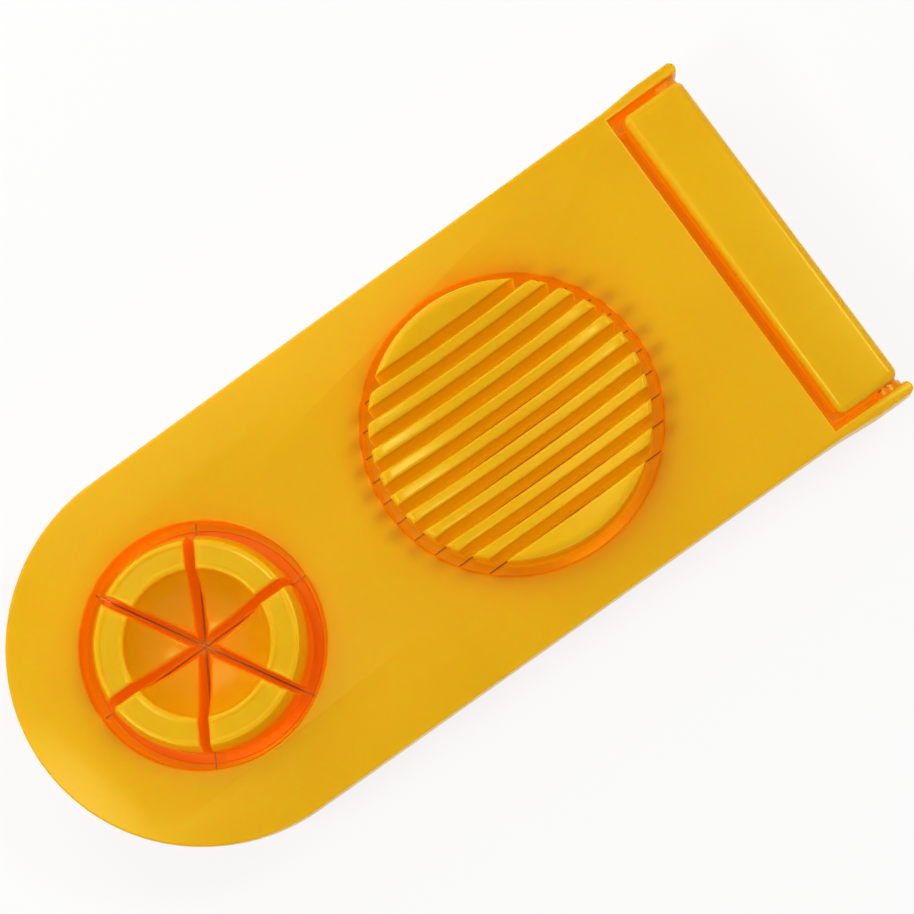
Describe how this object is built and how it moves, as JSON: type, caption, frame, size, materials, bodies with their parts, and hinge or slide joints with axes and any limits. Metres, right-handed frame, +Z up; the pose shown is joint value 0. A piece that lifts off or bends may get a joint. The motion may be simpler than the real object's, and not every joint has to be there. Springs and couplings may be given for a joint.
{
  "type": "egg slicer",
  "caption": "Hinged egg slicer with a flat wire-strung cutting frame over a base that carries a ribbed slicing cradle and a wedge cup.",
  "frame": {"origin": "under the middle of the closed slicer, on the surface that it stands on", "axes": "+X from the half-round front end to the hinge, +Z up, +Y completes the right-handed set"},
  "size_m": [0.196, 0.0878, 0.0355],
  "materials": {
    "yellow_plastic": "glossy moulded yellow plastic, slightly translucent",
    "steel": "bright drawn stainless steel"
  },
  "bodies": {
    "base": {"base_tray": "yellow_plastic", "slicing_cradle": "yellow_plastic", "wedge_cup": "yellow_plastic", "hinge_pin_left": "steel", "hinge_pin_right": "steel"},
    "swing_frame": {"cutting_frame": "yellow_plastic", "slicing_wire_ring": "yellow_plastic", "wedge_wire_ring": "yellow_plastic", "slicing_wire_01": "steel", "slicing_wire_02": "steel", "slicing_wire_03": "steel", "slicing_wire_04": "steel", "slicing_wire_05": "steel", "slicing_wire_06": "steel", "slicing_wire_07": "steel", "slicing_wire_08": "steel", "slicing_wire_09": "steel", "slicing_wire_10": "steel", "wedge_wire_1": "steel", "wedge_wire_2": "steel", "wedge_wire_3": "steel"}
  },
  "joints": [
    {"name": "frame_hinge", "type": "hinge", "parent": "base", "child": "swing_frame", "pos_m": [0.09365, 0, 0.0216], "axis": [0, 1, 0], "range_deg": [0, 105]}
  ]
}
